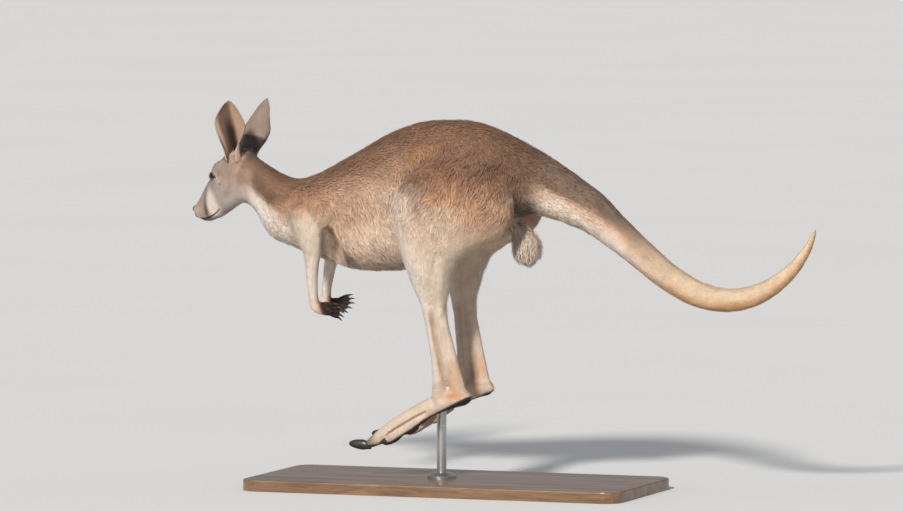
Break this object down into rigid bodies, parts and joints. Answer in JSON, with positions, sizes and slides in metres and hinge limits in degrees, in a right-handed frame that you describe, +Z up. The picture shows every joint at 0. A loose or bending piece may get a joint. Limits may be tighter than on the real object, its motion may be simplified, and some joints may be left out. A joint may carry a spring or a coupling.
{
  "type": "red kangaroo display model",
  "caption": "Life-size red kangaroo in mid leap, a still museum model held over a flat base by an upright rod",
  "frame": {"origin": "centre of the underside of the stand's base board", "axes": "the animal faces -X with its left side towards -Y, and +Z is up"},
  "size_m": [1.7317, 0.46, 1.0072],
  "materials": {
    "fur": "short dense coat, tan above and cream below",
    "bare_skin": "dark bare skin",
    "claw": "dark horn, half gloss",
    "eye": "wet dark brown",
    "board": "satin varnished",
    "steel": "brushed"
  },
  "bodies": {
    "root": {"head": "fur", "neck": "fur", "trunk": "fur", "scrotum": "fur", "tail_root": "fur", "tail_upper": "fur", "tail_lower": "fur", "tail_tip": "fur", "left_ear": "fur", "left_thigh": "fur", "left_shank": "fur", "left_foot": "fur", "left_upper_arm": "fur", "left_forearm": "fur", "left_hand": "fur", "left_eye": "eye", "left_foot_claw_2": "claw", "left_foot_claw_3": "claw", "left_foot_claw_4": "claw", "left_foot_claw_5": "claw", "left_hand_claw_1": "claw", "left_hand_claw_2": "claw", "left_hand_claw_3": "claw", "left_hand_claw_4": "claw", "left_hand_claw_5": "claw", "right_ear": "fur", "right_thigh": "fur", "right_shank": "fur", "right_foot": "fur", "right_upper_arm": "fur", "right_forearm": "fur", "right_hand": "fur", "right_eye": "eye", "right_foot_claw_2": "claw", "right_foot_claw_3": "claw", "right_foot_claw_4": "claw", "right_foot_claw_5": "claw", "right_hand_claw_1": "claw", "right_hand_claw_2": "claw", "right_hand_claw_3": "claw", "right_hand_claw_4": "claw", "right_hand_claw_5": "claw", "nose": "bare_skin", "stand_base": "board", "stand_collar": "steel", "stand_rod": "steel"}
  },
  "joints": []
}
